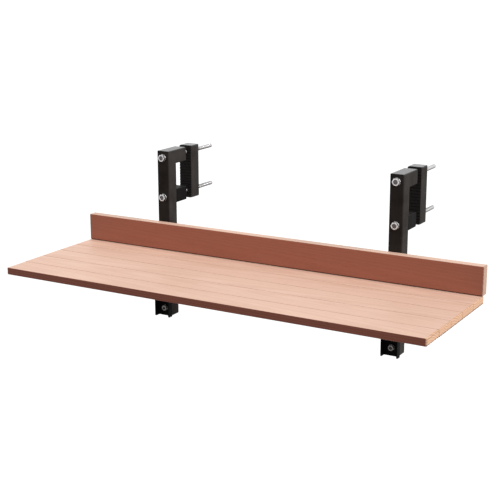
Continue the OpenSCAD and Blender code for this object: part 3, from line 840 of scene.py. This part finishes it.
@dataclass
class Plank(Assembly):
    """One board, sawn from a log at its own distance from the pith. Sizes are in millimetres."""

    node: str = "board_1"
    body: str = "tabletop"
    slot: str = "board_wood"
    finish_names: tuple[str, str, str, str] = ("board_top_painted_sheen", "board_side_painted_shade", "board_end", "board_side_painted_shade")
    edge: float = 1.3
    edge_steps: int = 4
    end_edge: float = 1.5
    end_bites: Pair = (0.35, 0.65)
    end_slant: float = 0.7
    flat: float = 0.999
    end_turn: float = 0.3
    # The end's rounded edge toward this side keeps the side or underside finish. Facing down on the boards,
    # this is painted shade along the ends' lower edge.
    side_coloured_toward: Triple = (0.0, 0.0, -1.0)
    side_coloured_turn: float = 0.2
    top_turn: float = 0.8
    underside_turn: float = -0.1
    groove_width: float = 5.0
    groove_depth: float = 1.5
    groove_steps: int = 8
    groove_places: tuple[float, ...] = ()
    pith: Pair = (12.0, -48.0)
    slope: Pair = (0.01, 0.02)
    shift: float = 0.0

    def outline(self, width: float, height: float) -> list[Pair]:
        """Section of the plank with rounded edges and relief grooves.

        Args:
            width: Width of the section.
            height: Its height.

        Returns:
            Points round the section, its middle at the origin.
        """
        points = []
        for quarter, (side, level) in enumerate(((1, 1), (-1, 1), (-1, -1), (1, -1))):
            for step in range(self.edge_steps + 1):
                angle = FULL_TURN / 4 * (quarter + step / self.edge_steps)
                points.append((side * (width / 2 - self.edge) + self.edge * math.cos(angle),
                               level * (height / 2 - self.edge) + self.edge * math.sin(angle)))
            if (side, level) == (-1, -1):
                for place in sorted(sign * place for place in self.groove_places for sign in (-1, 1)):
                    points += self.groove(place, -height / 2)
        return points

    def groove(self, place: float, level: float) -> list[Pair]:
        """Points of one relief groove, from left to right.

        Args:
            place: Middle of the groove across the plank.
            level: Height of the plank's underside.

        Returns:
            Points of the arc.
        """
        radius = (self.groove_width ** 2 / 4 + self.groove_depth ** 2) / (2 * self.groove_depth)
        half = math.asin(self.groove_width / 2 / radius)
        centre = level + self.groove_depth - radius
        turns = [half * (1 - 2 * step / self.groove_steps) for step in range(self.groove_steps + 1)]
        return [(place - radius * math.sin(turn), centre + radius * math.cos(turn)) for turn in turns]

    def sawn(self) -> Blank:
        """The plank's mesh, drawn along X from its section.

        Returns:
            The workpiece in metres, at its place.
        """
        low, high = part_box(self.node)
        size, middle = (high - low) / MM, (low + high) / 2
        work = Blank()
        mesh, edge = work.mesh, self.end_edge
        points = [mesh.verts.new((edge - size.x / 2, y, z)) for y, z in self.outline(size.y, size.z)]
        grown = bmesh.ops.extrude_face_region(mesh, geom=[mesh.faces.new(points)])["geom"]
        moved = [item for item in grown if isinstance(item, bmesh.types.BMVert)]
        bmesh.ops.translate(mesh, verts=moved, vec=(size.x - 2 * edge, 0, 0))
        bmesh.ops.recalc_face_normals(mesh, faces=mesh.faces)
        for bite in self.end_bites:
            for end in [face for face in mesh.faces if abs(face.normal.x) > self.flat]:
                bmesh.ops.inset_region(mesh, faces=[end], thickness=bite * self.end_slant * edge,
                                       depth=(1 - bite) * edge, use_boundary=True, use_even_offset=True)
        bmesh.ops.recalc_face_normals(mesh, faces=mesh.faces)
        for face in mesh.faces:
            face.material_index = self.kind(face.normal).value
        place = Matrix.Translation(middle) @ Matrix.Scale(MM, 4)
        bmesh.ops.transform(mesh, matrix=place, verts=mesh.verts)
        grain = mesh.verts.layers.float_vector.new(GRAIN)
        for vertex in mesh.verts:
            x, y, z = vertex.co - middle
            vertex[grain] = Vector((x + self.shift, y + self.pith[0] * MM + self.slope[0] * x,
                                    z - self.pith[1] * MM + self.slope[1] * x))
        return work

    def kind(self, normal: Vector) -> BoardFace:
        """Kind of a face, where the end's rounded edge toward one side keeps the side or underside finish
        instead of the end's.

        Args:
            normal: Outward direction of the face.

        Returns:
            The kind.
        """
        side_coloured = normal.dot(Vector(self.side_coloured_toward)) >= self.side_coloured_turn
        if abs(normal.x) > self.end_turn and not side_coloured:
            return BoardFace.END
        if normal.z > self.top_turn:
            return BoardFace.TOP
        return BoardFace.UNDERSIDE if normal.z < self.underside_turn else BoardFace.SIDE

    def build(self) -> None:
        """Make the plank and put it in place of its node."""
        self.hand_over(self.sawn(), f"{self.node}_plank", self.body, self.node, *self.finish_names,
                       slot=self.slot)


@dataclass
class Tabletop(Assembly):
    """Five boards on two channel arms. Sizes are in millimetres."""

    piths: tuple[Pair, ...] = ((14, -46), (-9, 38), (22, -60), (-18, -40), (6, 52))
    slopes: tuple[Pair, ...] = (
        (0.012, 0.020), (-0.010, 0.026), (0.006, -0.022), (-0.014, 0.016), (0.009, -0.024))
    shift: float = 0.71
    groove_places: Pair = (9.0, 18.5)
    end_edge: float = 1.4
    front_end_edge: float = 2.6
    screw: PanScrew = PanScrew()

    def build(self) -> None:
        """Make the boards and their screws and dress the arms."""
        for number, (pith, slope) in enumerate(zip(self.piths, self.slopes), start=1):
            end_edge = self.front_end_edge if number == 1 else self.end_edge
            Plank(self.finishes, f"board_{number}", groove_places=self.groove_places, pith=pith,
                  slope=slope, end_edge=end_edge, shift=self.shift * number).build()
        self.screws()
        self.dress("shaded_steel", *(side.node("table_arm") for side in Side))

    def screws(self) -> None:
        """Make the screws that hold the boards from below."""
        low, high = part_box("board_screws")
        arm_low, arm_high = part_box(Side.RIGHT.node("table_arm"))
        middle_x = (arm_low.x + arm_high.x) / 2
        offset = high.x - middle_x - self.screw.head_radius * MM
        seat = low.z + self.screw.head_height * MM
        work = Screws().wood_screw((high.z - seat) / MM, self.screw)
        rows = [side.outward * middle_x + across * offset for side in Side for across in (-1, 1)]
        places = []
        for number in range(1, len(self.piths) + 1):
            board_low, board_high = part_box(f"board_{number}")
            middle_y = (board_low.y + board_high.y) / 2
            places += [Facing.DOWN.at((x, middle_y, seat)) for x in rows]
        self.hand_over(work.placed(places), "board_wood_screws", "tabletop", "board_screws", "zinc")


@dataclass
class Upstand(Assembly):
    """Board along the rear of the tabletop. Sizes are in millimetres."""

    pith: Pair = (40, -20)
    slope: Pair = (0.02, 0.014)
    shift: float = 3.1
    screw: PanScrew = PanScrew()

    def build(self) -> None:
        """Make the board and the screws that hold it from behind."""
        Plank(self.finishes, "upstand_board", "frame", "upstand_wood",
              ("board_top_painted_sheen", "upstand_face", "upstand_end", "upstand_underside_shade"),
              side_coloured_toward=(0.0, 1.0, 0.0), pith=self.pith, slope=self.slope, shift=self.shift).build()
        low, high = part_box("upstand_screws")
        radius = self.screw.head_radius * MM
        places = [Facing.REARWARD.at((x, 0, z)) for x in (low.x + radius, high.x - radius)
                  for z in (low.z + radius, high.z - radius)]
        work = Screws().wood_screw(-low.y / MM, self.screw)
        self.hand_over(work.placed(places), "upstand_wood_screws", "frame", "upstand_screws", "zinc")


@dataclass
class RailingClamp(Assembly):
    """Upright with its arms, jaw and clamp screws, on one side. Sizes are in millimetres."""

    side: Side = Side.RIGHT
    screw: HexBolt = HexBolt(4.0, 1.25, 13.0, 5.3, (4.0, 1.2))
    hole: float = 4.25

    def build(self) -> None:
        """Dress the tubes, the jaw and its fittings, and make the screws and washers."""
        self.dress("steel", *map(self.side.node, ("upright", "upper_arm", "jaw")))
        self.dress("shaded_steel", self.side.node("lower_arm"))
        self.dress("plastic", *map(self.side.node, ("foot_plug", "jaw_caps")))
        self.dress("rubber", self.side.node("jaw_pad"))
        self.dress("zinc", self.side.node("jaw_inserts"))
        for level in Level:
            self.clamp_screw(level)

    def clamp_screw(self, level: Level) -> None:
        """Make one long screw and its washer.

        Args:
            level: Height of the screw.
        """
        body = self.side.node(f"{level.value}_screw")
        node = self.side.node(f"{level.value}_clamp_screw")
        low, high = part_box(node)
        middle = (low + high) / 2
        seat = low.y + self.screw.height * MM
        work = Screws().bolt(self.screw, (high.y - seat) / MM)
        place = Facing.FRONTWARD.at((middle.x, seat, middle.z))
        self.hand_over(work.placed([place]), f"{node}_threaded", body, node, "zinc", "recess_shade")
        washer = self.side.node(f"{level.value}_washer")
        low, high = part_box(washer)
        work = Screws().washer((high.x - low.x) / 2 / MM, self.hole, (high.y - low.y) / MM)
        place = Facing.FRONTWARD.at((middle.x, high.y, middle.z))
        self.hand_over(work.placed([place]), f"{washer}_rolled", body, washer, "zinc")


@dataclass
class HingeBracket(Assembly):
    """Folded channel at the foot of an upright, with its fasteners. Sizes are in millimetres."""

    side: Side = Side.RIGHT
    bolt: HexBolt = HexBolt()
    nut_height: float = 5.0
    pin_radius: float = 3.0
    pin_head: Pair = (5.5, 2.2)
    pin_head_rim: float = 0.4
    pin_head_steps: int = 5
    pin_steps: int = 36
    pivot_steps: int = 32
    pivot_end: Profile = ((0.0, 0.6), (0.25, 0.2), (0.6, 0.0))
    pivot_dimple: Pair = (1.0, 0.5)
    bore: float = 3.05
    hole: float = 3.25
    washer_size: Pair = (6.0, 1.2)

    def build(self) -> None:
        """Dress the channel and make its bolts, washers, nuts and pins."""
        self.dress("shaded_steel", self.side.node("hinge_channel"))
        self.bolts()
        self.washers()
        self.nuts()
        self.hinge_pin()
        self.stay_pivot()

    def spots(self, node: str, radius: float) -> list[Pair]:
        """X and Z in metres of a node's two equal parts, one above the other."""
        low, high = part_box(node)
        return [((low.x + high.x) / 2, z) for z in (low.z + radius * MM, high.z - radius * MM)]

    def bolts(self) -> None:
        """Make the two bolts that hold the channel on the tube."""
        node = self.side.node("bracket_bolts")
        low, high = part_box(node)
        seat = low.y + self.bolt.height * MM
        work = Screws().bolt(self.bolt, (high.y - seat) / MM)
        spots = self.spots(node, self.bolt.flats / 2)
        places = [Facing.FRONTWARD.at((x, seat, z)) for x, z in spots]
        self.hand_over(work.placed(places), f"{node}_threaded", "frame", node, "shaded_zinc", "shaded_recess")

    def washers(self) -> None:
        """Make the washers under the bolt heads and the nuts."""
        node = self.side.node("bracket_washers")
        radius, thickness = self.washer_size
        low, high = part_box(node)
        faces = ((Facing.FRONTWARD, low.y + thickness * MM), (Facing.REARWARD, high.y - thickness * MM))
        places = [facing.at((x, y, z)) for facing, y in faces for x, z in self.spots(node, radius)]
        work = Screws().washer(radius, self.hole, thickness)
        self.hand_over(work.placed(places), f"{node}_rolled", "frame", node, "shaded_zinc")

    def nuts(self) -> None:
        """Make the nuts behind the tube."""
        node = self.side.node("bracket_nuts")
        spots = self.spots(self.side.node("bracket_washers"), self.washer_size[0])
        places = [Facing.REARWARD.at((x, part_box(node)[0].y, z)) for x, z in spots]
        work = Screws().nut(self.bore, self.bolt.flats, self.nut_height)
        self.hand_over(work.placed(places), f"{node}_turned", "frame", node, "shaded_zinc")

    def hinge_pin(self) -> None:
        """Make the pin that is riveted over at both ends."""
        node = self.side.node("hinge_pin")
        low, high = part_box(node)
        half = (high.x - low.x) / 2 / MM
        radius, height = self.pin_head
        seat, rim = half - height, self.pin_head_rim
        turns = [FULL_TURN / 4 * step / self.pin_head_steps for step in range(self.pin_head_steps + 1)]
        dome = [(radius * math.cos(turn), seat + rim + (height - rim) * math.sin(turn)) for turn in turns]
        outer = [(self.pin_radius, seat), (radius, seat), *dome]
        inner = [(across, -up) for across, up in reversed(outer)]
        work = Blank().turned([*inner, (self.pin_radius, 0), *outer], self.pin_steps)
        place = Facing.RIGHTWARD.at((low + high) / 2)
        self.hand_over(work.placed([place]), f"{node}_riveted", "frame", node, "zinc")

    def stay_pivot(self) -> None:
        """Make the pin that the stay swings on, with turned and dimpled ends."""
        node = self.side.node("stay_pivot")
        low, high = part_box(node)
        half = (high.x - low.x) / 2 / MM
        radius, depth = self.pivot_dimple
        outer = [(self.pin_radius - inset, half - drop) for inset, drop in self.pivot_end]
        outer += [(radius, half), (0, half - depth)]
        inner = [(across, -up) for across, up in reversed(outer)]
        work = Blank().turned([*inner, *outer], self.pivot_steps)
        place = Facing.RIGHTWARD.at((low + high) / 2)
        self.hand_over(work.placed([place]), f"{node}_turned", "frame", node, "zinc")


@dataclass
class LockingStay(Assembly):
    """Stay with its slotted-arm bolt and knob, on one side. Sizes are in millimetres."""

    side: Side = Side.RIGHT
    size: HexBolt = HexBolt()
    bore: float = 3.05
    washer_size: Pair = (6.0, 1.2)
    knob_radius: float = 11.0
    knob_height: float = 11.0
    collar: Pair = (6.5, 3.0)
    collar_edge: float = 0.5
    mouth: float = 0.4
    foot_rim: Profile = ((1.6, 0.0), (0.5, 0.5), (0.0, 1.7))
    top_rim: Profile = ((0.0, 3.4), (0.5, 1.9), (1.7, 0.9))
    waist: float = 0.79
    crown: Profile = ((0.79, 0.5), (0.62, 0.25), (0.45, 0.0), (0.40, 0.0), (0.34, 0.6), (0.0, 0.6))
    lobes: int = 6
    bay_reach: float = 0.12
    bay_power: float = 1.4
    knob_steps: int = 96

    def build(self) -> None:
        """Dress the stay and make its bolt, washers and knob."""
        self.dress("shaded_steel", self.side.node("stay"))
        self.dress("zinc", self.side.node("stay_spacers"))
        self.bolt()
        self.washers()
        self.knob()

    @property
    def axis(self) -> Pair:
        """Y and Z of the bolt's axis."""
        low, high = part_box(self.side.node("stay_washers"))
        return (low.y + high.y) / 2, (low.z + high.z) / 2

    def bolt(self) -> None:
        """Make the bolt that runs in the slots of the arm."""
        node = self.side.node("stay_bolt")
        low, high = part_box(node)
        right = self.side is Side.RIGHT
        inner, facing = (low.x, Facing.LEFTWARD) if right else (high.x, Facing.RIGHTWARD)
        seat = inner + self.side.outward * self.size.height * MM
        work = Screws().bolt(self.size, (high.x - low.x) / MM - self.size.height)
        work = work.placed([facing.at((seat, *self.axis))])
        self.hand_over(work, f"{node}_threaded", self.side.node("stay_link"), node, "shaded_zinc",
                       "shaded_recess")

    def washers(self) -> None:
        """Make the washers on both sides of the arm."""
        node = self.side.node("stay_washers")
        low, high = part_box(node)
        radius, thickness = self.washer_size
        work = Screws().washer(radius, self.bore, thickness).placed([
            Facing.LEFTWARD.at((low.x + thickness * MM, *self.axis)),
            Facing.RIGHTWARD.at((high.x - thickness * MM, *self.axis))])
        self.hand_over(work, f"{node}_rolled", self.side.node("stay_link"), node, "zinc")

    def knob(self) -> None:
        """Make the lobed knob with its collar, crown and blind bore."""
        node = self.side.node("knob")
        low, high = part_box(node)
        collar, seat = self.collar
        radius, top = self.knob_radius, seat + self.knob_height
        waist = self.waist * radius

        def lobed(reach: float, turn: float, height: float) -> Pair:
            """Draw one point in between the lobes.

            Args:
                reach: Its distance from the axis.
                turn: Its direction from the axis.
                height: Its height.

            Returns:
                Its scale and its height.
            """
            if reach <= waist:
                return 1.0, height
            bay = 0.5 - 0.5 * math.cos(self.lobes * turn)
            inner = waist + (reach - waist) * self.bay_reach
            return (reach + (inner - reach) * bay ** self.bay_power) / reach, height

        bore_depth = seat + self.knob_height / 2
        profile = (
            (0, bore_depth), (self.bore, bore_depth), (self.bore, self.mouth),
            (self.bore + self.mouth, 0), (collar - self.collar_edge, 0),
            (collar, self.collar_edge), (collar, seat), (waist, seat),
            *((radius - inset, seat + rise) for inset, rise in self.foot_rim),
            *((radius - inset, top - depth) for inset, depth in self.top_rim),
            *((share * radius, top - depth) for share, depth in self.crown),
        )
        work = Blank().turned(profile, self.knob_steps, reshape=lobed)
        right = self.side is Side.RIGHT
        base, facing = (low.x, Facing.RIGHTWARD) if right else (high.x, Facing.LEFTWARD)
        work = work.placed([facing.at((base, *self.axis))])
        self.hand_over(work, f"{node}_moulded", self.side.node("locking_knob"), node, "plastic",
                       slot="black_plastic")


@dataclass
class Studio:
    """Pale floor, a broad lamp on the right, white surroundings and the photograph's camera."""

    floor_level: float = -2.8
    floor_size: float = 160.0
    floor_shade: float = 0.30
    floor_white: float = 0.95
    sky: float = 0.45
    sky_white: float = 1.0
    sun: float = 4.2
    sun_rise: float = 33.0
    sun_turn: float = -2.0
    sun_width: float = 22.0
    eye: Triple = (1.0553, -1.9396, 0.4407)
    yaw: float = 30.077
    pitch: float = 14.366
    roll: float = -0.113
    lens: float = 83.68
    sensor: float = 36.0
    sight: float = 400.0

    def build(self) -> None:
        """Set up the floor, the world, the lamp and the camera."""
        self.floor()
        self.world()
        self.lamp()
        self.camera()
        bpy.context.scene.view_settings.view_transform = "Standard"

    @staticmethod
    def seen(tree: bpy.types.NodeTree) -> Socket:
        """Whether a ray is one that shows the surroundings.

        Args:
            tree: Node tree of a material or of the world.

        Returns:
            1 on camera, mirror and transmitted rays, and 0 on others.
        """
        path = tree.nodes.new("ShaderNodeLightPath")
        share = path.outputs["Is Camera Ray"]
        for name in ("Is Glossy Ray", "Is Transmission Ray"):
            larger = tree.nodes.new("ShaderNodeMath")
            larger.operation = "MAXIMUM"
            tree.links.new(share, larger.inputs[0])
            tree.links.new(path.outputs[name], larger.inputs[1])
            share = larger.outputs[0]
        return share

    def floor(self) -> None:
        """Lay the floor far below the table, so that it hides no view from below."""
        mesh = bmesh.new()
        bmesh.ops.create_grid(mesh, x_segments=1, y_segments=1, size=self.floor_size / 2,
                              matrix=Matrix.Translation((0, 0, self.floor_level)))
        data = bpy.data.meshes.new("studio_floor")
        mesh.to_mesh(data)
        mesh.free()
        graph = Graph("pale_floor")
        share = self.seen(graph.material.node_tree)
        colour = graph.blend(share, (self.floor_shade,) * 3, (self.floor_white,) * 3)
        graph.set(Base_Color=colour, Roughness=1.0, Specular_IOR_Level=0.0)
        data.materials.append(graph.material)
        floor = bpy.data.objects.new("studio_floor", data)
        bpy.context.scene.collection.objects.link(floor)

    def world(self) -> None:
        """Make the sky white where it shows and softer where it lights."""
        world = bpy.data.worlds.new("white_studio")
        bpy.context.scene.world = world
        world.use_nodes = True
        nodes, links = world.node_tree.nodes, world.node_tree.links
        nodes.clear()
        mix, out = nodes.new("ShaderNodeMixShader"), nodes.new("ShaderNodeOutputWorld")
        links.new(self.seen(world.node_tree), mix.inputs[0])
        for number, strength in enumerate((self.sky, self.sky_white), start=1):
            sky = nodes.new("ShaderNodeBackground")
            sky.inputs["Color"].default_value = (1, 1, 1, 1)
            sky.inputs["Strength"].default_value = strength
            links.new(sky.outputs[0], mix.inputs[number])
        links.new(mix.outputs[0], out.inputs["Surface"])

    def lamp(self) -> None:
        """Hang one broad lamp far off on the right."""
        rise, turn = math.radians(self.sun_rise), math.radians(self.sun_turn)
        source = Vector((math.cos(rise) * math.cos(turn), math.cos(rise) * math.sin(turn), math.sin(rise)))
        light = bpy.data.lights.new("key", "SUN")
        light.energy = self.sun
        light.angle = math.radians(self.sun_width)
        lamp = bpy.data.objects.new("key", light)
        lamp.rotation_euler = source.to_track_quat("Z", "Y").to_euler()
        bpy.context.scene.collection.objects.link(lamp)

    def camera(self) -> None:
        """Put the camera where the photograph was taken."""
        data = bpy.data.cameras.new("photo")
        data.lens = self.lens
        data.sensor_width = self.sensor
        data.clip_end = self.sight
        camera = bpy.data.objects.new("photo", data)
        camera.location = self.eye
        aim = Matrix.Identity(3)
        for axis, degrees in (("Z", self.yaw), ("X", 90 - self.pitch), ("Z", self.roll)):
            aim = aim @ Matrix.Rotation(math.radians(degrees), 3, axis)
        camera.rotation_euler = aim.to_euler()
        bpy.context.scene.collection.objects.link(camera)
        bpy.context.scene.camera = camera


def main() -> None:
    """Build the studio, then the table's parts in order."""
    logging.basicConfig(level=logging.INFO, format="%(name)s: %(message)s")
    finishes = Finishes()
    Studio().build()
    Tabletop(finishes).build()
    Upstand(finishes).build()
    for side in Side:
        RailingClamp(finishes, side=side).build()
        HingeBracket(finishes, side=side).build()
        LockingStay(finishes, side=side).build()


if __name__ == "__main__":
    main()
